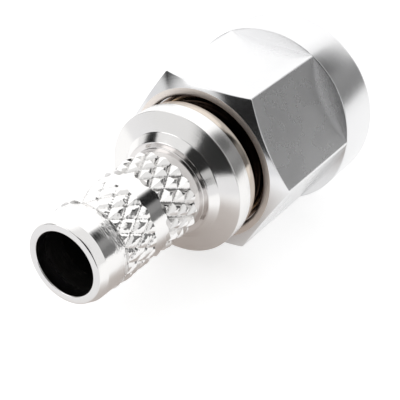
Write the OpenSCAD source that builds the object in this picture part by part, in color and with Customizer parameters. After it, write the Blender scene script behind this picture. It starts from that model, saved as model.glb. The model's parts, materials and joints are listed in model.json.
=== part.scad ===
// Coaxial plug of the SMA series, crimp type, for 5 mm cable with a 2.95 mm dielectric.
// Millimetres. The plug lies with its axis level, one flat of the nut facing up:
// +X runs from the mating end to the cable end, +Z is up, and the origin is on
// the ground under the middle of its length. Pieces are drawn upright, then laid.

/* [Overall] */
// Length from the nut's front face to the cable end
length = 18.3; // [16.4:0.1:22]

/* [Coupling nut] */
// Width across the flats of the hexagon
hex_af = 8; // [8:0.1:9]
// Length of the coupling nut
nut_len = 8.5; // [7.6:0.1:9.4]
// Length of the round collar ahead of the flats
collar_len = 2.6; // [2:0.1:3.4]
// Diameter of the round collar
collar_d = 9.2; // [9.1:0.1:10]
// Chamfer round the collar's front edge
collar_chamfer = 0.3; // [0.1:0.05:0.5]
// Slope of the chamfer on the rear corners, from the rear face
corner_angle = 28; // [20:1:35]
// Outer diameter of the flat ring left on the rear face
rear_ring_d = 7.6; // [7.4:0.1:7.8]
// Minor diameter of the quarter inch, 36 turns per inch thread
thread_minor_d = 5.68; // [5.64:0.01:5.8]

/* [Mating face] */
// Depth of the reference plane behind the nut's front face
plane_depth = 3.2; // [3:0.1:3.4]
// Diameter of the outer contact's nose
nose_d = 4.57; // [4.5:0.01:4.6]
// Diameter of the centre pin
pin_d = 0.91; // [0.9:0.01:0.94]
// Length of the centre pin ahead of the reference plane
pin_len = 2.2; // [1.6:0.1:2.5]
// Thickness of the face gasket
gasket_t = 0.75; // [0.6:0.05:0.8]

/* [Body] */
// Diameter of the flange behind the nut
flange_d = 7.04; // [7:0.02:7.3]
// Length of the flange's side wall
flange_len = 0.88; // [0.6:0.02:1]
// Diameter of the collar between flange and nut
neck_d = 6.84; // [6.7:0.02:6.9]
// Diameter of the stub between the knurled bands
stub_d = 4; // [3.9:0.02:4.1]
// Diameter of the cable bore
bore_d = 3.02; // [2.98:0.01:3.1]

/* [Knurl] */
// Number of diamonds round each band
diamonds = 18; // [14:1:24]
// Half diamonds along each band
half_rows = 3; // [2:1:5]
// Share of the stub's length in each band
band_share = 0.273; // [0.2:0.005:0.28]
// Turn of the diamonds about the axis, in degrees
knurl_phase = 10; // [0:0.5:20]
// Height of the diamonds above the stub
crest = 0.12; // [0.06:0.01:0.16]
// Depth of the grooves below the stub
root = 0.07; // [0.04:0.01:0.1]
// Share of each diamond left flat on top
flat_share = 0.3; // [0.15:0.05:0.6]

/* [Hidden] */
$fn = 96;
eps = 0.5;            // overrun of cutting tools
edge = 0.07;          // small turned edge break

run_gap = 0.08;       // radial running gap, nut on journal
axial_gap = 0.1;      // end gap beside the snap ring
hex_corner_r = hex_af / sqrt(3);

// coupling nut
nose_len = 2.65;      // from the reference plane to the gasket seat
gasket_room = 0.15;   // free length ahead of the gasket
thread_end = plane_depth + nose_len - gasket_t - gasket_room;
nut_journal_r = 3.2;  // plain bore behind the thread
thread_pitch = 25.4 / 36;
thread_major_r = 3.175;
thread_root = thread_pitch / 16;  // half of the flat at the groove's root
thread_inner_r = 2.7; // where the cutter starts, in the open bore
thread_facets = 24;   // facets in one turn
mouth_r = 3.25;       // thread lead-in at the front face
counter_r = 3.4;      // counterbore in the rear face
counter_depth = 0.45;
rear_corner_z = nut_len - (collar_d - rear_ring_d) / 2 * tan(corner_angle);
lead_len = mouth_r - thread_minor_d / 2;

// body, from the mating face back
journal_r = nut_journal_r - run_gap;
seat_z = plane_depth + nose_len;
nose_r = nose_d / 2;
land_r = 2.45;        // land that centres the gasket
land_z = seat_z - gasket_t;
groove_len = 0.6;     // snap ring groove
groove_back = 0.9;    // wall of the nut behind the groove
groove_z = nut_len - groove_back - groove_len;
groove_r = 2.75;
neck_gap = 0.61;      // bare journal between nut and neck
neck_len = 0.52;
neck_z = nut_len + neck_gap;
neck_r = neck_d / 2;
flange_z = neck_z + neck_len;
flange_r = flange_d / 2;
face_z = flange_z + flange_len;
face_rise = 0.24;     // slope of the flange's rear face up to the boss
boss_base_r = 2.62;
boss_base_z = face_z + face_rise;
boss_r = 2.27;
boss_len = 0.4;
boss_z = boss_base_z + boss_len;
stub_r = stub_d / 2;
end_chamfer_len = 0.42;
end_chamfer = 0.15;

// knurled bands
knurl_room = length - boss_z;
band_len = band_share * knurl_room;
gap_share = 0.133;    // plain ring between the bands
end_share = 0.228;    // plain ring at the cable end, chamfer included
band_gap = gap_share * knurl_room;
end_ring = end_share * knurl_room;
band_a = length - end_ring - band_len;
band_b = band_a - band_gap - band_len;
core_r = stub_r - root - 0.08;
crest_r = stub_r + crest;
root_r = stub_r - root;
step_a = 180 / diamonds;
step_z = band_len / half_rows;

// bore of the body
chamber_r = 1.35;
diel_len = 5.1;
diel_z = plane_depth + diel_len;
diel_r = 2.05;
press_gap = 0.01;

// snap ring
ring_t = 0.4;
ring_r = 3.47;
ring_mouth = 50;      // opening angle
nut_groove_r = ring_r + run_gap;

// gasket
gasket_hole_r = land_r + 0.02;
gasket_r = 3;

// centre contact
contact_r = 0.635;
pin_r = pin_d / 2;
tip_z = plane_depth - pin_len;
tip_len = 0.35;
tip_r = 0.2;
stop_r = 0.95;
stop_len = 0.4;
bucket_r = 0.74;
bucket_len = 2.3;
bucket_hole_r = 0.48;
bucket_depth = 2.1;
sight_r = 0.22;
bucket_z = diel_z + stop_len;
bucket_room = 0.3;    // from the bucket to the shoulder that stops the cable
cable_stop_z = bucket_z + bucket_len + bucket_room;

// Lays a piece drawn along +Z, from the nut's front face, down along +X.
module lay() {
    translate([-length / 2, 0, collar_d / 2]) rotate([0, 90, 0]) children();
}

module body_outline() {
    polygon([
        [0, plane_depth],
        [nose_r - edge, plane_depth], [nose_r, plane_depth + edge],
        [nose_r, land_z], [land_r, land_z], [land_r, seat_z],
        [journal_r - edge, seat_z], [journal_r, seat_z + edge],
        [journal_r, groove_z], [groove_r, groove_z],
        [groove_r, groove_z + groove_len], [journal_r, groove_z + groove_len],
        [journal_r, neck_z], [neck_r - edge, neck_z], [neck_r, neck_z + edge],
        [neck_r, flange_z], [flange_r - edge, flange_z], [flange_r, flange_z + edge],
        [flange_r, face_z - edge], [flange_r - edge, face_z],
        [boss_base_r, boss_base_z], [boss_r + edge, boss_z - edge],
        [boss_r, boss_z], [stub_r, boss_z],
        [stub_r, band_b], [core_r, band_b],
        [core_r, band_b + band_len], [stub_r, band_b + band_len],
        [stub_r, band_a], [core_r, band_a],
        [core_r, band_a + band_len], [stub_r, band_a + band_len],
        [stub_r, length - end_chamfer_len], [stub_r - end_chamfer, length],
        [0, length],
    ]);
}

// One point of a band: a turn in half diamonds, a level in half diamonds, a radius.
function knurl_point(j, k, r) =
    let (a = knurl_phase + j * step_a) [r * cos(a), r * sin(a), k * step_z];
function top_level(k) = min(half_rows, max(0, k));
function slot(j, k) = 5 * (k * diamonds + floor((j % (2 * diamonds)) / 2));
function low(j, k) = slot(j, k);
function left(j, k) = slot(j, k) + 1;
function right(j, k) = slot(j, k) + 2;
function down(j, k) = slot(j, k) + 3;
function up(j, k) = slot(j, k) + 4;
function split(q) = [[q[2], q[1], q[0]], [q[3], q[2], q[0]]];
function cell(j, k) = (j + k) % 2 == 0
    ? [each split([right(j, k), low(j + 1, k), low(j, k + 1), up(j, k)]),
       each split([low(j + 1, k), down(j + 1, k + 1), left(j + 1, k + 1), low(j, k + 1)])]
    : [each split([low(j, k), left(j + 1, k), up(j + 1, k), low(j + 1, k + 1)]),
       each split([low(j, k), low(j + 1, k + 1), right(j, k + 1), down(j, k + 1)])];
function rim(k) = [for (j = [0 : 2 * diamonds - 1])
    each ((j + k) % 2 == 0
        ? [left(j, k), k == 0 ? down(j, k) : up(j, k), right(j, k)]
        : [low(j, k)])];

// A band of diamond knurling with flattened tops, standing on its own solid core.
module knurl_band() {
    last = 2 * diamonds - 1;
    points = [
        for (k = [0 : half_rows]) for (q = [0 : diamonds - 1])
            let (d = 2 * q + k % 2, l = 2 * q + 1 - k % 2)
            each [
                knurl_point(l, k, root_r),
                knurl_point(d - flat_share, k, crest_r),
                knurl_point(d + flat_share, k, crest_r),
                knurl_point(d, top_level(k - flat_share), crest_r),
                knurl_point(d, top_level(k + flat_share), crest_r),
            ],
        [0, 0, 0],
        [0, 0, band_len],
    ];
    foot = len(points) - 2;
    head = len(points) - 1;
    foot_rim = rim(0);
    head_rim = rim(half_rows);
    sides = [for (k = [0 : half_rows - 1]) for (j = [0 : last]) each cell(j, k)];
    tops = [for (k = [0 : half_rows]) for (j = [0 : last]) if ((j + k) % 2 == 0)
        each split([left(j, k), down(j, k), right(j, k), up(j, k)])];
    foot_faces = [for (i = [0 : len(foot_rim) - 1])
        [foot_rim[i], foot_rim[(i + 1) % len(foot_rim)], foot]];
    head_faces = [for (i = [0 : len(head_rim) - 1])
        [head_rim[(i + 1) % len(head_rim)], head_rim[i], head]];
    polyhedron(points, [each sides, each tops, each foot_faces, each head_faces]);
}

// Turned body: nose, journal, flange, boss and knurled crimp stub in one piece.
module body() {
    color([0.78, 0.77, 0.75]) lay()
    difference() {
        union() {
            rotate_extrude() body_outline();
            translate([0, 0, band_a]) knurl_band();
            translate([0, 0, band_b]) knurl_band();
        }
        translate([0, 0, cable_stop_z]) cylinder(r = bore_d / 2, h = length);
        translate([0, 0, diel_z - eps]) cylinder(r = chamber_r, h = cable_stop_z - diel_z + 2 * eps);
        translate([0, 0, plane_depth - eps]) cylinder(r = diel_r, h = diel_z - plane_depth + eps);
    }
}

module nut_envelope() {
    polygon([
        [0, 0],
        [collar_d / 2 - collar_chamfer, 0], [collar_d / 2, collar_chamfer],
        [collar_d / 2, rear_corner_z], [rear_ring_d / 2, nut_len],
        [0, nut_len],
    ]);
}

module nut_bore() {
    polygon([
        [0, -eps],
        [mouth_r, -eps], [mouth_r, 0],
        [thread_minor_d / 2, lead_len], [thread_minor_d / 2, thread_end],
        [nut_journal_r, thread_end], [nut_journal_r, groove_z - axial_gap],
        [nut_groove_r, groove_z - axial_gap],
        [nut_groove_r, groove_z + groove_len + axial_gap],
        [nut_journal_r, groove_z + groove_len + axial_gap],
        [nut_journal_r, nut_len - counter_depth],
        [counter_r, nut_len - counter_depth], [counter_r, nut_len + eps],
        [0, nut_len + eps],
    ]);
}

// Cutter for the thread's groove: a 60 degree ridge on a right-hand helix.
module thread_cutter() {
    last = ceil(thread_facets * (thread_end / thread_pitch + 1.5));
    half = (thread_major_r - thread_inner_r) * tan(30) + thread_root;
    points = [for (i = [0 : last])
        let (a = 360 * i / thread_facets, z = thread_pitch * (i / thread_facets - 1))
        for (q = [[thread_inner_r, -half], [thread_major_r, -thread_root],
                  [thread_major_r, thread_root], [thread_inner_r, half]])
        [q[0] * cos(a), q[0] * sin(a), z + q[1]]];
    sides = [for (i = [0 : last - 1]) for (q = [0 : 3])
        let (n = (q + 1) % 4)
        each split([4 * i + q, 4 * i + 4 + q, 4 * i + 4 + n, 4 * i + n])];
    polyhedron(points, [[3, 2, 1, 0], each sides,
        [4 * last, 4 * last + 1, 4 * last + 2, 4 * last + 3]]);
}

// Free-turning coupling nut: round collar, six flats, threaded bore and ring groove.
module coupling_nut() {
    color([0.74, 0.74, 0.75]) lay()
    difference() {
        intersection() {
            rotate_extrude() nut_envelope();
            union() {
                cylinder(r = collar_d / 2 + eps, h = collar_len);
                linear_extrude(nut_len) rotate(30) circle(r = hex_corner_r, $fn = 6);
            }
        }
        rotate_extrude() nut_bore();
        thread_cutter();
    }
}

// Open spring ring that holds the nut on the body.
module snap_ring() {
    color([0.72, 0.6, 0.4]) lay()
    translate([0, 0, groove_z + groove_len - ring_t])
    rotate([0, 0, ring_mouth / 2])
    rotate_extrude(angle = 360 - ring_mouth)
        translate([groove_r, 0]) square([ring_r - groove_r, ring_t]);
}

module gasket() {
    color([0.65, 0.16, 0.1]) lay()
    translate([0, 0, seat_z - gasket_t])
    difference() {
        cylinder(r = gasket_r, h = gasket_t);
        translate([0, 0, -eps]) cylinder(r = gasket_hole_r, h = gasket_t + 2 * eps);
    }
}

module dielectric() {
    color([0.94, 0.94, 0.92]) lay()
    translate([0, 0, plane_depth])
    difference() {
        cylinder(r = diel_r - press_gap, h = diel_z - plane_depth);
        translate([0, 0, -eps]) cylinder(r = contact_r + press_gap, h = diel_z);
    }
}

// Centre contact: pin, shank, stop and the bucket that takes the cable's inner wire.
module centre_contact() {
    color([0.85, 0.66, 0.3]) lay()
    difference() {
        rotate_extrude() polygon([
            [0, tip_z], [tip_r, tip_z], [pin_r, tip_z + tip_len],
            [pin_r, plane_depth], [contact_r, plane_depth],
            [contact_r, diel_z], [stop_r, diel_z], [stop_r, bucket_z],
            [bucket_r, bucket_z], [bucket_r, bucket_z + bucket_len],
            [0, bucket_z + bucket_len],
        ]);
        translate([0, 0, bucket_z + bucket_len - bucket_depth])
            cylinder(r = bucket_hole_r, h = bucket_depth + eps);
        translate([0, 0, bucket_z + bucket_len / 3])
            rotate([0, 90, 0]) cylinder(r = sight_r, h = bucket_r + eps);
    }
}

body();
coupling_nut();
snap_ring();
gasket();
dielectric();
centre_contact();
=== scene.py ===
import json
import math
import random
import bmesh
import bpy
import numpy as np
from mathutils import Matrix, Vector

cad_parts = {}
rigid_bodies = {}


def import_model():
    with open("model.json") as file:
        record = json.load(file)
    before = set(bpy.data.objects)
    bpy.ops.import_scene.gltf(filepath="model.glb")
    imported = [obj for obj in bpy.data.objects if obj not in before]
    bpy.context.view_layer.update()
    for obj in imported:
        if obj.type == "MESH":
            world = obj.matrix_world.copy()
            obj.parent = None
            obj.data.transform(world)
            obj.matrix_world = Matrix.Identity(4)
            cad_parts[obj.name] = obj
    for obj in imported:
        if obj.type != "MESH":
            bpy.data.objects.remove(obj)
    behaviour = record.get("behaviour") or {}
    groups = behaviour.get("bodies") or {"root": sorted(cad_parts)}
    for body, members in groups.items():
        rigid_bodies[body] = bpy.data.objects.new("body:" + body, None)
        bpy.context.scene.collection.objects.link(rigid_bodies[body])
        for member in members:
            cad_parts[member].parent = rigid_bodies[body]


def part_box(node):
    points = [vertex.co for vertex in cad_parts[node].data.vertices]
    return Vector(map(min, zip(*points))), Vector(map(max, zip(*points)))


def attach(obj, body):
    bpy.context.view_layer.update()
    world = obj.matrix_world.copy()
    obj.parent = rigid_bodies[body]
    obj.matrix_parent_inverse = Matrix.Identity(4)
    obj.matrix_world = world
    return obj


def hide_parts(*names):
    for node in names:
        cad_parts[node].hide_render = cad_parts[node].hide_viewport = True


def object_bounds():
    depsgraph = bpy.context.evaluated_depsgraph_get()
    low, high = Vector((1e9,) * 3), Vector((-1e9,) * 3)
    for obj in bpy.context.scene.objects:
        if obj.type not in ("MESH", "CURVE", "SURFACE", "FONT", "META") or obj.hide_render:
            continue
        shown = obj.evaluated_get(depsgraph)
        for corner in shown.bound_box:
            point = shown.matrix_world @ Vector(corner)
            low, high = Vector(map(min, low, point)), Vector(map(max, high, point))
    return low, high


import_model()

START_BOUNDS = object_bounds()
MM = 0.001

# ---------------------------------------------------------------- sizes, mm
# A piece is worked out upright: z from the nut's front face, r from the axis.
body_lo, body_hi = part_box("body")
nut_lo, nut_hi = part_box("coupling_nut")
LENGTH = (body_hi.x - nut_lo.x) / MM
AXIS_Z = (nut_hi.z + nut_lo.z) / 2
FRONT_X = nut_lo.x
NUT_LEN = (nut_hi.x - nut_lo.x) / MM
COLLAR_R = (nut_hi.z - nut_lo.z) / 2 / MM
FLANGE_R = (body_hi.z - body_lo.z) / 2 / MM
PLANE = (body_lo.x - nut_lo.x) / MM

FLAT_R, CORNER_R = 4.0, 0.10
COLLAR_LEN = 2.6
REAR_RING_R = 3.8
CORNER_SLOPE = math.tan(math.radians(28))
COUNTER_R, COUNTER_DEPTH = 3.4, 0.45
NUT_JOURNAL_R = 3.2
THREAD_MINOR_R, THREAD_MAJOR_R, THREAD_END, THREAD_PITCH = 2.84, 3.175, 4.95, 25.4 / 36
MOUTH_R = 3.25
GROOVE_Z, GROOVE_LEN = 7.0, 0.6
NUT_GROOVE_R, BODY_GROOVE_R = 3.55, 2.75
RING_R, RING_T, RING_MOUTH = 3.47, 0.4, 50

NOSE_R, LAND_R, SEAT_Z, GASKET_T, GASKET_R = 2.285, 2.45, 5.85, 0.75, 3.0
JOURNAL_R = 3.12
NECK_Z = NUT_LEN + 0.61
FLANGE_Z = NECK_Z + 0.52
FACE_Z = FLANGE_Z + 0.88
NECK_R = 3.42
BOSS_BASE_R, BOSS_BASE_Z = 2.62, FACE_Z + 0.24
BOSS_R, BOSS_Z = 2.27, FACE_Z + 0.64
STUB_R, BORE_R = 2.0, 1.51
END_CHAMFER, END_CHAMFER_LEN = 0.15, 0.42
CHAMBER_R, DIEL_R, DIEL_Z = 1.35, 2.05, 8.3
CABLE_STOP_Z = 11.3

ROOM = LENGTH - BOSS_Z
BAND_LEN = 0.273 * ROOM
BAND_A = LENGTH - 0.228 * ROOM - BAND_LEN
BAND_B = BAND_A - 0.133 * ROOM - BAND_LEN
DIAMONDS, HALF_ROWS = 18, 3
KNURL_PHASE = 10.0
CREST_R, ROOT_R = STUB_R + 0.12, STUB_R - 0.07

CONTACT_R, PIN_R, TIP_Z = 0.635, 0.455, 1.0
STOP_R, STOP_LEN, BUCKET_R, BUCKET_LEN = 0.95, 0.4, 0.74, 2.3
BUCKET_HOLE_R, BUCKET_DEPTH = 0.48, 2.1
POINT_R = 0.0005             # how near the axis a closed end comes

BODY_COLUMNS, KNURL_STEPS, THREAD_STEPS = 288, 42, 110
THREAD_FLANK = math.radians(30)
SHARP_EDGE = 28              # degrees, on the plain turned pieces


# ---------------------------------------------------------------- meshes
def place(r, turn, z):
    """A point drawn upright, laid down as the frame lies: up the axis is +X."""
    return (FRONT_X + z * MM, r * math.sin(turn) * MM, AXIS_Z - r * math.cos(turn) * MM)


def rounded(points, arc=5):
    """A closed outline (z, r, fillet) with each corner turned into a short arc."""
    out = []
    n = len(points)
    for i, (z, r, f) in enumerate(points):
        here = np.array((z, r), float)
        if f <= 0:
            out.append((z, r))
            continue
        before = np.array(points[i - 1][:2], float) - here
        after = np.array(points[(i + 1) % n][:2], float) - here
        lb, la = np.linalg.norm(before), np.linalg.norm(after)
        before, after = before / lb, after / la
        half = math.acos(max(-1, min(1, float(before @ after)))) / 2
        t = min(f / math.tan(half), 0.45 * lb, 0.45 * la)
        a, b = here + before * t, here + after * t
        for k in range(arc + 1):
            s = k / arc
            q = (1 - s) ** 2 * a + 2 * s * (1 - s) * here + s ** 2 * b
            out.append((float(q[0]), float(q[1])))
    return out


def add_mesh(name, verts, faces, body, material, sharp, replaced):
    mesh = bpy.data.meshes.new(name)
    mesh.from_pydata(verts, [], faces)
    mesh.validate()
    mesh.update()
    mesh.shade_smooth()
    mesh.set_sharp_from_angle(angle=math.radians(sharp))
    obj = bpy.data.objects.new(name, mesh)
    bpy.context.scene.collection.objects.link(obj)
    mesh.materials.append(material)
    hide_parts(replaced)
    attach(obj, body)


def lathe(rings, turns):
    """A closed skin from a table of (z, r) per turn: rings[i][j] stands at turns[j]."""
    n, m = len(rings), len(turns)
    verts = [place(r, turns[j], z) for ring in rings for j, (z, r) in enumerate(ring)]
    faces = []
    for i in range(n):
        for j in range(m):
            a, b = i * m + j, i * m + (j + 1) % m
            c, d = ((i + 1) % n) * m + (j + 1) % m, ((i + 1) % n) * m + j
            faces.append((a, b, c, d))
    return verts, faces


def even_turns(n):
    return [2 * math.pi * k / n for k in range(n)]


def turned(name, outline, body, material, columns, replaced):
    """A plain turned piece from a closed outline."""
    turns = even_turns(columns)
    rings = [[(z, r)] * columns for z, r in outline]
    verts, faces = lathe(rings, turns)
    add_mesh(name, verts, faces, body, material, SHARP_EDGE, replaced)


# ---------------------------------------------------------------- materials
def node(tree, kind, **inputs):
    made = tree.nodes.new(kind)
    for key, value in inputs.items():
        made.inputs[key.replace("_", " ")].default_value = value
    return made


def math_node(tree, operation, a, b=None):
    made = tree.nodes.new("ShaderNodeMath")
    made.operation = operation
    for k, value in enumerate((a, b)):
        if value is None:
            continue
        if isinstance(value, (int, float)):
            made.inputs[k].default_value = value
        else:
            tree.links.new(value, made.inputs[k])
    return made.outputs[0]


def axis_space(tree):
    """Object coordinates, and in mm the distance from the nut's front face and from the axis."""
    coords = tree.nodes.new("ShaderNodeTexCoord")
    split = tree.nodes.new("ShaderNodeSeparateXYZ")
    tree.links.new(coords.outputs["Object"], split.inputs[0])
    along = math_node(tree, "MULTIPLY", math_node(tree, "SUBTRACT", split.outputs["X"], FRONT_X), 1 / MM)
    y = math_node(tree, "MULTIPLY", split.outputs["Y"], 1 / MM)
    z = math_node(tree, "MULTIPLY", math_node(tree, "SUBTRACT", split.outputs["Z"], AXIS_Z), 1 / MM)
    r2 = math_node(tree, "ADD", math_node(tree, "MULTIPLY", y, y), math_node(tree, "MULTIPLY", z, z))
    return coords, along, math_node(tree, "SQRT", r2)


def ramp(tree, value, low, high):
    """0 below low, 1 above high; turned round when low is the larger."""
    spread = tree.nodes.new("ShaderNodeMapRange")
    spread.interpolation_type = "SMOOTHSTEP"
    spread.inputs["From Min"].default_value = low
    spread.inputs["From Max"].default_value = high
    tree.links.new(value, spread.inputs["Value"])
    return spread.outputs["Result"]


def both(tree, a, b):
    return math_node(tree, "MULTIPLY", a, b)


def span(tree, value, low, high, soft=0.04):
    """1 between low and high, with soft edges."""
    return both(tree, ramp(tree, value, low - soft, low + soft),
                ramp(tree, value, high + soft, high - soft))


def facing_cable(tree):
    """How far a face looks along the axis, towards the cable end."""
    geometry = tree.nodes.new("ShaderNodeNewGeometry")
    split = tree.nodes.new("ShaderNodeSeparateXYZ")
    tree.links.new(geometry.outputs["True Normal"], split.inputs[0])
    return split.outputs["X"]


def blend_color(tree, base, tint, mask):
    """base, a socket or a colour, turning to tint where mask is 1."""
    mixed = tree.nodes.new("ShaderNodeMix")
    mixed.data_type = "RGBA"
    tree.links.new(mask, mixed.inputs["Factor"])
    if isinstance(base, tuple):
        mixed.inputs["A"].default_value = (*base, 1)
    else:
        tree.links.new(base, mixed.inputs["A"])
    mixed.inputs["B"].default_value = (*tint, 1)
    return mixed.outputs["Result"]


ROUGH_SPREAD = 0.05          # how far the stains move the roughness, either way


def metal(name, color, roughness, turning, specks=0.0, mottle=0.05,
          tints=None, rougher=None, burrs=None):
    """Plated metal: turning lines round the axis, faint stains, specks, and tints that paint shade into
    recesses and reflections onto faces.

    tints, rougher and burrs are built from (tree, along, radius), as lists of (colour, mask),
    (amount, mask) and (depth, mask).
    """
    mat = bpy.data.materials.new(name)
    mat.use_nodes = True
    tree = mat.node_tree
    bsdf = tree.nodes["Principled BSDF"]
    bsdf.inputs["Metallic"].default_value = 1.0
    coords, along, radius = axis_space(tree)
    lines = tree.nodes.new("ShaderNodeCombineXYZ")
    tree.links.new(along, lines.inputs[0])
    tree.links.new(radius, lines.inputs[1])
    groove = node(tree, "ShaderNodeTexNoise", Scale=14.0, Detail=3.0, Roughness=0.7)
    tree.links.new(lines.outputs[0], groove.inputs["Vector"])
    stain = node(tree, "ShaderNodeTexNoise", Scale=420.0, Detail=5.0, Roughness=0.65)
    tree.links.new(coords.outputs["Object"], stain.inputs["Vector"])

    shade = tree.nodes.new("ShaderNodeValToRGB")
    shade.color_ramp.elements[0].position, shade.color_ramp.elements[1].position = 0.3, 0.7
    shade.color_ramp.elements[0].color = (*[c * (1 - mottle) for c in color], 1)
    shade.color_ramp.elements[1].color = (*color, 1)
    tree.links.new(stain.outputs["Fac"], shade.inputs["Fac"])
    tone = shade.outputs["Color"]
    if specks:
        dots = node(tree, "ShaderNodeTexVoronoi", Scale=1900.0)
        tree.links.new(coords.outputs["Object"], dots.inputs["Vector"])
        cell = tree.nodes.new("ShaderNodeSeparateColor")
        tree.links.new(dots.outputs["Color"], cell.inputs[0])
        chosen = math_node(tree, "GREATER_THAN", cell.outputs[0], 0.90)
        mark = both(tree, chosen, ramp(tree, dots.outputs["Distance"], 0.28, 0.1))
        strength = math_node(tree, "MULTIPLY", cell.outputs[1], specks)
        tone = blend_color(tree, tone, (1, 1, 1), both(tree, mark, strength))
    for tint, mask in (tints(tree, along, radius) if tints else []):
        tone = blend_color(tree, tone, tint, mask)
    tree.links.new(tone, bsdf.inputs["Base Color"])

    spread = tree.nodes.new("ShaderNodeMapRange")
    spread.inputs["To Min"].default_value = max(0.02, roughness - ROUGH_SPREAD)
    spread.inputs["To Max"].default_value = roughness + ROUGH_SPREAD
    tree.links.new(stain.outputs["Fac"], spread.inputs["Value"])
    rough = spread.outputs["Result"]
    for amount, mask in (rougher(tree, along, radius) if rougher else []):
        rough = math_node(tree, "ADD", rough, math_node(tree, "MULTIPLY", mask, amount))
    tree.links.new(rough, bsdf.inputs["Roughness"])

    height = math_node(tree, "MULTIPLY", groove.outputs["Fac"], turning)
    for depth, mask in (burrs(tree, along, radius) if burrs else []):
        stretch = tree.nodes.new("ShaderNodeMapping")
        stretch.inputs["Scale"].default_value = (14000, 3000, 3000)
        tree.links.new(coords.outputs["Object"], stretch.inputs["Vector"])
        streak = node(tree, "ShaderNodeTexNoise", Scale=1.0, Detail=2.0)
        tree.links.new(stretch.outputs[0], streak.inputs["Vector"])
        marks = both(tree, math_node(tree, "MULTIPLY", streak.outputs["Fac"], depth), mask)
        height = math_node(tree, "ADD", height, marks)
    bump = node(tree, "ShaderNodeBump", Strength=1.0, Distance=0.000004)
    tree.links.new(height, bump.inputs["Height"])
    tree.links.new(bump.outputs["Normal"], bsdf.inputs["Normal"])
    return mat


def body_burrs(tree, along, radius):
    """Marks beside the worn band, dying away towards the cable end."""
    ring_start = BAND_A + BAND_LEN
    return [(9.0, both(tree, ramp(tree, along, ring_start + 1.0, ring_start),
                       ramp(tree, along, ring_start - 0.06, ring_start)))]


def bore_wall(tree, along, radius):
    """The inside of the cable bore, fading in behind its mouth."""
    return both(tree, ramp(tree, radius, BORE_R + 0.06, BORE_R + 0.02),
                span(tree, along, DIEL_Z, LENGTH - 0.5, 0.4))


def body_tints(tree, along, radius):
    bands = math_node(tree, "MAXIMUM", span(tree, along, BAND_A, BAND_A + BAND_LEN, 0.02),
                      span(tree, along, BAND_B, BAND_B + BAND_LEN, 0.02))
    # Painted shade: the journal between the nut's rear and the neck is drawn dark brown.
    painted_recess_shade = both(tree, span(tree, along, NUT_LEN - 0.7, NECK_Z),
                  ramp(tree, radius, NECK_R - 0.05, JOURNAL_R + 0.1))
    # Painted reflection: the neck is drawn tan, as if mirroring the nut's beige rear face.
    painted_neck_reflection = both(tree, span(tree, along, NECK_Z, FLANGE_Z - 0.05),
                ramp(tree, radius, JOURNAL_R + 0.1, NECK_R - 0.05))
    # Painted shade: the inside of the cable bore is drawn near black, fading in behind its mouth.
    bore = bore_wall(tree, along, radius)
    # Painted shade: the knurl grooves, below the stub's radius, are drawn greyer than the crests.
    return [((0.68, 0.67, 0.66), both(tree, bands, ramp(tree, radius, STUB_R + 0.005, ROOT_R + 0.01))),
            ((0.16, 0.15, 0.145), bore),
            ((0.74, 0.72, 0.71), span(tree, along, BOSS_Z - 0.02, BAND_B - 0.03, 0.02)),
            ((0.13, 0.10, 0.085), painted_recess_shade), ((0.62, 0.55, 0.48), painted_neck_reflection)]


def body_rough(tree, along, radius):
    bore = bore_wall(tree, along, radius)
    return [(0.12, ramp(tree, radius, FLANGE_R - 0.06, FLANGE_R - 0.02)), (0.22, bore)]


def nut_tints(tree, along, radius):
    # Painted reflection: the nut's rear face is drawn a light warm beige.
    rear = both(tree, ramp(tree, facing_cable(tree), 0.93, 0.98),
                ramp(tree, along, NUT_LEN - 0.1, NUT_LEN - 0.03))
    # Painted shade: the nut's bore behind the thread is drawn dark brown.
    painted_recess_shade = both(tree, ramp(tree, radius, COUNTER_R - 0.01, COUNTER_R - 0.05),
                  ramp(tree, along, THREAD_END, THREAD_END + 0.2))
    return [((0.86, 0.80, 0.75), rear), ((0.22, 0.17, 0.14), painted_recess_shade)]


def nut_flats(tree, along, radius):
    lengthways = math_node(tree, "ABSOLUTE", facing_cable(tree))
    flat = both(tree, span(tree, along, COLLAR_LEN, NUT_LEN),
                ramp(tree, radius, FLAT_R - 0.06, FLAT_R - 0.03))
    rear = both(tree, ramp(tree, facing_cable(tree), 0.90, 0.97),
                ramp(tree, along, NUT_LEN - 0.12, NUT_LEN - 0.05))
    collar = both(tree, span(tree, along, 0.1, COLLAR_LEN),
                  ramp(tree, radius, COLLAR_R - 0.1, COLLAR_R - 0.03))
    return [(0.14, both(tree, flat, ramp(tree, lengthways, 0.2, 0.1))), (0.30, rear), (0.12, collar)]


def plain(name, color, roughness, grain, scale):
    """Moulded or machined plastic with a fine grain."""
    mat = bpy.data.materials.new(name)
    mat.use_nodes = True
    tree = mat.node_tree
    bsdf = tree.nodes["Principled BSDF"]
    coords = tree.nodes.new("ShaderNodeTexCoord")
    noise = node(tree, "ShaderNodeTexNoise", Scale=scale, Detail=5.0)
    tree.links.new(coords.outputs["Object"], noise.inputs["Vector"])
    shade = tree.nodes.new("ShaderNodeValToRGB")
    shade.color_ramp.elements[0].color = (*[c * 0.92 for c in color], 1)
    shade.color_ramp.elements[1].color = (*[min(1, c * 1.05) for c in color], 1)
    tree.links.new(noise.outputs["Fac"], shade.inputs["Fac"])
    tree.links.new(shade.outputs["Color"], bsdf.inputs["Base Color"])
    bsdf.inputs["Roughness"].default_value = roughness
    bump = node(tree, "ShaderNodeBump", Strength=0.5, Distance=grain)
    tree.links.new(noise.outputs["Fac"], bump.inputs["Height"])
    tree.links.new(bump.outputs["Normal"], bsdf.inputs["Normal"])
    return mat


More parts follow.
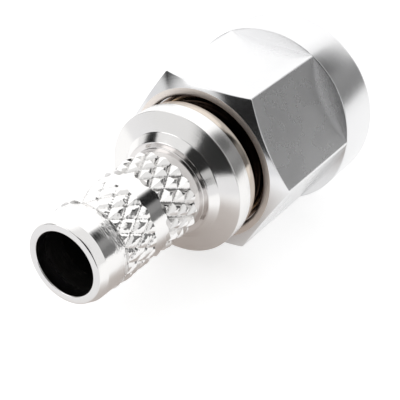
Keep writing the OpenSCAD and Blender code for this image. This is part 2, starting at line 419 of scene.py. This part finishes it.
NICKEL = metal("body_nickel", (0.84, 0.83, 0.82), 0.12, turning=0.5,
               tints=body_tints, rougher=body_rough, burrs=body_burrs)
NUT_NICKEL = metal("nut_nickel", (0.78, 0.78, 0.785), 0.13, turning=0.25, specks=0.4, mottle=0.06,
                   tints=nut_tints, rougher=nut_flats)
GOLD = metal("gold", (0.86, 0.62, 0.26), 0.16, turning=0.4)
BRONZE = metal("spring_bronze", (0.72, 0.52, 0.33), 0.28, turning=0.4)
PTFE = plain("ptfe", (0.93, 0.93, 0.915), 0.42, 0.000004, 2500.0)
RUBBER = plain("silicone", (0.50, 0.085, 0.05), 0.6, 0.000006, 3500.0)


# ---------------------------------------------------------------- body
WEAR = random.Random(7)
HITS = {(j, k): WEAR.uniform(-1, 1) for j in range(2 * DIAMONDS) for k in range(-1, HALF_ROWS + 2)}


# How far a diamond rises, how much that varies, how full its sides are, and its ripple.
CRISP_RISE, CRISP_SPREAD, CRISP_FULLNESS, CRISP_RIPPLE = CREST_R - ROOT_R, 0.008, 1.6, 0.002
WORN_RISE, WORN_SPREAD, WORN_FULLNESS, WORN_RIPPLE = 0.105, 0.018, 2.1, 0.006
WORN_ROOT_R = STUB_R - 0.025
PIT_DEPTH, PIT_REACH, PIT_SPREAD = 0.06, 0.45, 0.1


def knurl_r(turn, along, worn):
    """Radius of the knurling: crisp pyramids, or the other band's beaten, pitted ones."""
    x = (turn - math.radians(KNURL_PHASE)) / (math.pi / DIAMONDS)
    y = along / (BAND_LEN / HALF_ROWS)
    p, q = (x + y) / 2, (x - y) / 2
    a, b = 1 - 2 * abs(p - round(p)), 1 - 2 * abs(q - round(q))
    h = min(a, b)
    row = max(-1, min(HALF_ROWS + 1, round(p) - round(q)))
    hit = HITS[(round(p) + round(q)) % (2 * DIAMONDS), row]
    ripple = math.sin(11 * x + 3 * hit) * math.sin(13 * y - 5 * hit)
    if worn:
        pit = max(0.0, 1 - (a + b) / (PIT_REACH + PIT_SPREAD * hit))
        rise = (WORN_RISE + WORN_SPREAD * hit) * (1 - (1 - h) ** WORN_FULLNESS)
        return WORN_ROOT_R + rise - PIT_DEPTH * pit + WORN_RIPPLE * ripple
    rise = (CRISP_RISE + CRISP_SPREAD * hit) * (1 - (1 - h) ** CRISP_FULLNESS)
    return ROOT_R + rise + CRISP_RIPPLE * ripple


def body_rings(columns):
    turns = even_turns(columns)
    tail = rounded([
        (SEAT_Z, LAND_R, 0.0), (SEAT_Z, JOURNAL_R, 0.05),
        (GROOVE_Z, JOURNAL_R, 0.03), (GROOVE_Z, BODY_GROOVE_R, 0.0),
        (GROOVE_Z + GROOVE_LEN, BODY_GROOVE_R, 0.0), (GROOVE_Z + GROOVE_LEN, JOURNAL_R, 0.03),
        (NECK_Z, JOURNAL_R, 0.0), (NECK_Z, NECK_R, 0.05),
        (FLANGE_Z, NECK_R, 0.0), (FLANGE_Z, FLANGE_R, 0.05),
        (FACE_Z - 0.03, FLANGE_R, 0.04), (BOSS_BASE_Z + 0.03, BOSS_BASE_R, 0.1),
        (BOSS_Z, BOSS_R, 0.10), (BOSS_Z - 0.02, STUB_R, 0.05),
        (BAND_B, STUB_R, 0.0)])
    head = rounded([
        (BAND_A + BAND_LEN, STUB_R, 0.0), (LENGTH - END_CHAMFER_LEN, STUB_R, 0.12),
        (LENGTH, STUB_R - END_CHAMFER, 0.07), (LENGTH, BORE_R, 0.06),
        (CABLE_STOP_Z, BORE_R, 0.0), (CABLE_STOP_Z, CHAMBER_R, 0.03),
        (DIEL_Z, CHAMBER_R, 0.0), (DIEL_Z, DIEL_R, 0.0),
        (PLANE, DIEL_R, 0.0), (PLANE, NOSE_R, 0.06),
        (SEAT_Z - GASKET_T, NOSE_R, 0.0), (SEAT_Z - GASKET_T, LAND_R, 0.0)])
    rings = [[p] * columns for p in tail]
    for start, worn in ((BAND_B, False), (BAND_A, True)):
        for k in range(KNURL_STEPS + 1):
            along = BAND_LEN * k / KNURL_STEPS
            rings.append([(start + along, knurl_r(t, along, worn)) for t in turns])
        if not worn:
            rings.append([(start + BAND_LEN, STUB_R)] * columns)
            rings.append([(BAND_A, STUB_R)] * columns)
    rings += [[p] * columns for p in head]
    return rings, turns


rings, turns = body_rings(BODY_COLUMNS)
verts, faces = lathe(rings, turns)
add_mesh("turned_body", verts, faces, "plug", NICKEL, 26, "body")


# ---------------------------------------------------------------- coupling nut
def hexagon_r(turn):
    """Radius of the hexagon at a turn, with its corners rubbed down by a small arc."""
    a = abs((turn + math.pi / 6) % (math.pi / 3) - math.pi / 6)
    flat = FLAT_R / math.cos(a)
    away = math.pi / 6 - a
    centre = (FLAT_R - CORNER_R) / math.cos(math.pi / 6)
    left = max(0.0, CORNER_R ** 2 - (centre * math.sin(away)) ** 2)
    reach = centre * math.cos(away) + math.sqrt(left)
    arc_end = math.pi / 6 - math.atan2((FLAT_R - CORNER_R) * math.tan(math.pi / 6), FLAT_R)
    return min(COLLAR_R - 0.01, reach if away < arc_end else flat)


def nut_turns():
    out = []
    for k in range(6):
        start = k * math.pi / 3 - math.pi / 6
        near = [0.0, 0.25, 0.5, 0.8, 1.2, 1.8, 2.8, 4.2]
        middle = [6 + 48 * i / 22 for i in range(23)]
        degrees = near + middle + [60 - d for d in near[:0:-1]]
        out += [start + math.radians(d) for d in degrees]
    return out


def thread_r(turn, z):
    """Radius of the bore: lead-in cone, minor radius, and the helical groove cut into them."""
    phase = z / THREAD_PITCH - turn / (2 * math.pi)
    away = abs(phase - round(phase)) * THREAD_PITCH
    groove = THREAD_MAJOR_R - max(0.0, away - THREAD_PITCH / 16) / math.tan(THREAD_FLANK)
    return max(THREAD_MINOR_R, MOUTH_R - z, groove)


def nut_rings():
    turns = nut_turns()
    outer = []
    for t in turns:
        r = hexagon_r(t)
        edge = NUT_LEN - (r - REAR_RING_R) * CORNER_SLOPE
        outer.append(rounded([
            (0.0, MOUTH_R, 0.04), (0.0, COLLAR_R, 0.3),
            (COLLAR_LEN, COLLAR_R, 0.05), (COLLAR_LEN, r, 0.0),
            (edge, r, 0.07), (NUT_LEN - 0.02, REAR_RING_R, 0.05),
            (NUT_LEN, COUNTER_R + 0.02, 0.14), (NUT_LEN - COUNTER_DEPTH, COUNTER_R, 0.0),
            (NUT_LEN - COUNTER_DEPTH, NUT_JOURNAL_R, 0.02),
            (GROOVE_Z + GROOVE_LEN + 0.1, NUT_JOURNAL_R, 0.0),
            (GROOVE_Z + GROOVE_LEN + 0.1, NUT_GROOVE_R, 0.0),
            (GROOVE_Z - 0.1, NUT_GROOVE_R, 0.0), (GROOVE_Z - 0.1, NUT_JOURNAL_R, 0.0),
            (THREAD_END, NUT_JOURNAL_R, 0.0)], 6))
    rings = [list(ring) for ring in zip(*outer)]
    for k in range(THREAD_STEPS + 1):
        z = (THREAD_END - 0.001) - (THREAD_END - 0.03) * k / THREAD_STEPS
        rings.append([(z, thread_r(t, z)) for t in turns])
    return rings, turns


rings, turns = nut_rings()
verts, faces = lathe(rings, turns)
add_mesh("hex_nut", verts, faces, "nut", NUT_NICKEL, 20, "coupling_nut")


# ---------------------------------------------------------------- inner pieces
turned("face_gasket", rounded([
    (SEAT_Z - GASKET_T, LAND_R + 0.02, 0.05), (SEAT_Z - GASKET_T, GASKET_R, 0.12),
    (SEAT_Z, GASKET_R, 0.12), (SEAT_Z, LAND_R + 0.02, 0.05)]),
    "plug", RUBBER, 128, "gasket")
turned("insulator", rounded([
    (PLANE, CONTACT_R + 0.01, 0.03), (PLANE, DIEL_R - 0.01, 0.04),
    (DIEL_Z, DIEL_R - 0.01, 0.04), (DIEL_Z, CONTACT_R + 0.01, 0.03)]),
    "plug", PTFE, 128, "dielectric")
BUCKET_Z = DIEL_Z + STOP_LEN
contact_outline = rounded([
    (TIP_Z, POINT_R, 0.0), (TIP_Z, 0.24, 0.16), (TIP_Z + 0.35, PIN_R, 0.2),
    (PLANE, PIN_R, 0.0), (PLANE, CONTACT_R, 0.03), (DIEL_Z, CONTACT_R, 0.0),
    (DIEL_Z, STOP_R, 0.04), (BUCKET_Z, STOP_R, 0.04), (BUCKET_Z, BUCKET_R, 0.0),
    (BUCKET_Z + BUCKET_LEN, BUCKET_R, 0.05), (BUCKET_Z + BUCKET_LEN, BUCKET_HOLE_R, 0.04),
    (BUCKET_Z + BUCKET_LEN - BUCKET_DEPTH, BUCKET_HOLE_R, 0.0),
    (BUCKET_Z + BUCKET_LEN - BUCKET_DEPTH, POINT_R, 0.0)])
turned("contact_pin", contact_outline, "plug", GOLD, 64, "centre_contact")

ring_turns = [math.radians(RING_MOUTH / 2 + (360 - RING_MOUTH) * k / 72) for k in range(73)]
ring_outline = rounded([
    (GROOVE_Z + GROOVE_LEN - RING_T, BODY_GROOVE_R, 0.05),
    (GROOVE_Z + GROOVE_LEN - RING_T, RING_R, 0.05),
    (GROOVE_Z + GROOVE_LEN, RING_R, 0.05), (GROOVE_Z + GROOVE_LEN, BODY_GROOVE_R, 0.05)], 3)
n, m = len(ring_outline), len(ring_turns)
verts = [place(r, t, z) for t in ring_turns for z, r in ring_outline]
faces = [(j * n + i, j * n + (i + 1) % n, (j + 1) * n + (i + 1) % n, (j + 1) * n + i)
         for j in range(m - 1) for i in range(n)]
faces += [tuple(range(n))[::-1], tuple((m - 1) * n + i for i in range(n))]
add_mesh("spring_ring", verts, faces, "plug", BRONZE, 30, "snap_ring")

PIECES = ("turned_body", "hex_nut", "face_gasket", "insulator", "contact_pin", "spring_ring")

# Every closed mesh is turned the right way out.
for obj in list(bpy.context.scene.objects):
    if obj.type == "MESH" and obj.name in PIECES:
        bm = bmesh.new()
        bm.from_mesh(obj.data)
        bmesh.ops.recalc_face_normals(bm, faces=bm.faces)
        bm.to_mesh(obj.data)
        bm.free()

# ---------------------------------------------------------------- camera
# The row frame's X and Z axes as the camera sees them: right, down, away.
VIEW_X = Vector((-0.5640, 0.4377, -0.7003))
VIEW_Z = Vector((0.0300, -0.8360, -0.5470))
LENS, SENSOR = 102.6747, 36.0                    # mm
END_AT = Vector((-5.53383, 2.62264, 46.30229))   # the cable end in the same directions, mm


def camera():
    x = VIEW_X.normalized()
    z = (VIEW_Z - VIEW_Z.dot(x) * x).normalized()
    y = z.cross(x)
    to_row = Matrix((x, y, z))
    end = Vector((FRONT_X + LENGTH * MM, 0.0, AXIS_Z))
    eye = end - to_row @ (END_AT * MM)
    right, up, back = (to_row @ Vector(v) for v in ((1, 0, 0), (0, -1, 0), (0, 0, -1)))
    data = bpy.data.cameras.new("camera")
    data.sensor_width = SENSOR
    data.lens = LENS
    data.clip_start, data.clip_end = 0.002, 5.0
    obj = bpy.data.objects.new("camera", data)
    bpy.context.scene.collection.objects.link(obj)
    obj.matrix_world = Matrix((
        (right.x, up.x, back.x, eye.x), (right.y, up.y, back.y, eye.y),
        (right.z, up.z, back.z, eye.z), (0, 0, 0, 1)))
    bpy.context.scene.camera = obj


camera()


# ---------------------------------------------------------------- studio
FLOOR_GLOW, FLOOR_TONE = 0.62, 0.55
FLOOR_HALF, FLOOR_DROP = 0.6, 0.00001
DOME, KEY_GLOW = 0.95, 1.34

# Where glossy rays find the floor's glow dimmed, in m: a painted shadow under the stub, and a dimmer
# stretch beyond the cable end.
UNDER_X, UNDER_FULL, UNDER_END, UNDER_SHADOW_TINT = 0.005, 0.004, 0.009, (0.24, 0.17, 0.13)
BEYOND_START, BEYOND_FULL, BEYOND_TINT = 0.009, 0.014, (0.62, 0.62, 0.64)


def seen_directly(tree):
    """1 for rays that show a background: camera, glossy and transmission."""
    path = tree.nodes.new("ShaderNodeLightPath")
    first = math_node(tree, "MAXIMUM", path.outputs["Is Camera Ray"], path.outputs["Is Glossy Ray"])
    return path, math_node(tree, "MAXIMUM", first, path.outputs["Is Transmission Ray"])


def floor():
    """Pale floor that keeps the shadow; part of its white is shown, not lit."""
    mesh = bpy.data.meshes.new("floor")
    s = FLOOR_HALF
    mesh.from_pydata([(-s, -s, 0), (s, -s, 0), (s, s, 0), (-s, s, 0)], [], [(0, 1, 2, 3)])
    obj = bpy.data.objects.new("floor", mesh)
    obj.location = (0, 0, START_BOUNDS[0][2] - FLOOR_DROP)
    mat = bpy.data.materials.new("floor")
    mat.use_nodes = True
    tree = mat.node_tree
    tree.nodes.clear()
    out = tree.nodes.new("ShaderNodeOutputMaterial")
    paper = node(tree, "ShaderNodeBsdfDiffuse", Color=(FLOOR_TONE, FLOOR_TONE, FLOOR_TONE, 1))
    glow = tree.nodes.new("ShaderNodeEmission")
    coords = tree.nodes.new("ShaderNodeTexCoord")
    split = tree.nodes.new("ShaderNodeSeparateXYZ")
    tree.links.new(coords.outputs["Object"], split.inputs[0])
    path, direct = seen_directly(tree)
    reach = tree.nodes.new("ShaderNodeVectorMath")
    reach.operation = "DISTANCE"
    tree.links.new(coords.outputs["Object"], reach.inputs[0])
    reach.inputs[1].default_value = (UNDER_X, 0, 0)
    glossy = path.outputs["Is Glossy Ray"]
    # Painted shadow: glossy rays see the floor's glow dimmed to a warm brown under the stub.
    under = both(tree, ramp(tree, reach.outputs["Value"], UNDER_END, UNDER_FULL), glossy)
    beyond = both(tree, ramp(tree, split.outputs["X"], BEYOND_START, BEYOND_FULL), glossy)
    dimmed = blend_color(tree, (1, 1, 1), BEYOND_TINT, beyond)
    tree.links.new(blend_color(tree, dimmed, UNDER_SHADOW_TINT, under), glow.inputs["Color"])
    tree.links.new(math_node(tree, "MULTIPLY", direct, FLOOR_GLOW), glow.inputs["Strength"])
    total = tree.nodes.new("ShaderNodeAddShader")
    tree.links.new(paper.outputs[0], total.inputs[0])
    tree.links.new(glow.outputs[0], total.inputs[1])
    tree.links.new(total.outputs[0], out.inputs[0])
    mesh.materials.append(mat)
    bpy.context.scene.collection.objects.link(obj)


floor()


def round_axis(phi):
    """A direction in which a side of the plug mirrors the view: phi in degrees up from +Y."""
    return Vector((-0.70, 0.714 * math.cos(math.radians(phi)), 0.714 * math.sin(math.radians(phi))))


# What glossy rays meet, each laid over the ones before: direction, degrees from it where the
# zone is still full and where it ends, tone. A comment says which faces near the cable end
# mirror the middle of the zone to the camera: about how many degrees they are turned up from
# +Y, and how many they lean towards the cable end.
SIDE_ZONES = (
    (round_axis(135), 48, 62, KEY_GLOW),                # turn 89, lean -5; the upper flat is in it
    (round_axis(14), 20, 26, 0.20),                     # turn 32, lean -4; the next flat is in it
    (round_axis(40), 12, 18, 0.28),                     # turn 44, lean -4
    (round_axis(57), 7, 16, 0.01))                      # turn 52, lean -4
# A black band, low ahead of the cable end, is laid between the two tables.
BAND_LOW, BAND_HIGH, BAND_SOFT, BAND_TONE = 0.08, 0.48, 0.03, 0.012
BAND_ZONE = (Vector((0.93, -0.36, 0.15)), 56, 62)
AHEAD_ZONES = (
    (Vector((0.825, -0.545, 0.06)), 15, 25, 0.90),      # turn 91, lean 66
    (Vector((0.6275, 0.5265, 0.5736)), 26, 32, 0.02),   # turn 48, lean 38
    (Vector((0.70, 0.70, 0.08)), 14, 20, 0.60),         # turn 28, lean 43
    (Vector((0.70, -0.56, 0.46)), 11, 16, 1.8))         # turn 91, lean 51


def world():
    """Even dome for light; glossy rays also meet a bright key zone and dark cards."""
    made = bpy.data.worlds.new("world")
    bpy.context.scene.world = made
    made.use_nodes = True
    tree = made.node_tree
    coords = tree.nodes.new("ShaderNodeTexCoord")
    split = tree.nodes.new("ShaderNodeSeparateXYZ")
    tree.links.new(coords.outputs["Generated"], split.inputs[0])

    def zone(direction, inner, outer):
        dot = tree.nodes.new("ShaderNodeVectorMath")
        dot.operation = "DOT_PRODUCT"
        tree.links.new(coords.outputs["Generated"], dot.inputs[0])
        dot.inputs[1].default_value = direction.normalized()
        return ramp(tree, dot.outputs["Value"], math.cos(math.radians(outer)),
                    math.cos(math.radians(inner)))

    def blend(base, value, factor):
        """base + (value - base) * factor"""
        step = math_node(tree, "SUBTRACT", value, base)
        return math_node(tree, "ADD", math_node(tree, "MULTIPLY", step, factor), base)

    tone = DOME
    for direction, inner, outer, value in SIDE_ZONES:
        tone = blend(tone, value, zone(direction, inner, outer))
    low = span(tree, split.outputs["Z"], BAND_LOW, BAND_HIGH, BAND_SOFT)
    tone = blend(tone, BAND_TONE, both(tree, low, zone(*BAND_ZONE)))
    for direction, inner, outer, value in AHEAD_ZONES:
        tone = blend(tone, value, zone(direction, inner, outer))

    path, _ = seen_directly(tree)
    tone = blend(DOME, tone, path.outputs["Is Glossy Ray"])
    tone = blend(tone, 1.0, path.outputs["Is Camera Ray"])
    tree.nodes["Background"].inputs["Color"].default_value = (1, 1, 1, 1)
    tree.links.new(tone, tree.nodes["Background"].inputs["Strength"])


world()


def softbox(name, direction, distance, size, power):
    data = bpy.data.lights.new(name, "AREA")
    data.shape = "SQUARE"
    data.size = size
    data.energy = power
    obj = bpy.data.objects.new(name, data)
    direction = direction.normalized()
    obj.matrix_world = Matrix.Translation(Vector((0, 0, AXIS_Z)) + direction * distance) @ \
        direction.to_track_quat("Z", "Y").to_matrix().to_4x4()
    obj.visible_glossy = False
    bpy.context.scene.collection.objects.link(obj)


def dark_card():
    """Black card standing on the floor ahead of the cable end, met by reflections only."""
    mesh = bpy.data.meshes.new("dark_card")
    x, left, right, top = 0.028, -0.004, 0.03, 0.012
    mesh.from_pydata([(x, left, 0), (x, right, 0), (x, right, top), (x, left, top)], [], [(0, 1, 2, 3)])
    obj = bpy.data.objects.new("dark_card", mesh)
    mat = bpy.data.materials.new("dark_card")
    mat.use_nodes = True
    mat.node_tree.nodes["Principled BSDF"].inputs["Base Color"].default_value = (0.01, 0.01, 0.01, 1)
    mat.node_tree.nodes["Principled BSDF"].inputs["Roughness"].default_value = 0.9
    mesh.materials.append(mat)
    bpy.context.scene.collection.objects.link(obj)
    for way in ("camera", "diffuse", "shadow", "transmission"):
        setattr(obj, "visible_" + way, False)


dark_card()
softbox("softbox", Vector((-0.35, -0.35, 0.87)), distance=0.12, size=0.08, power=0.02)

bpy.context.scene.view_settings.view_transform = "Standard"
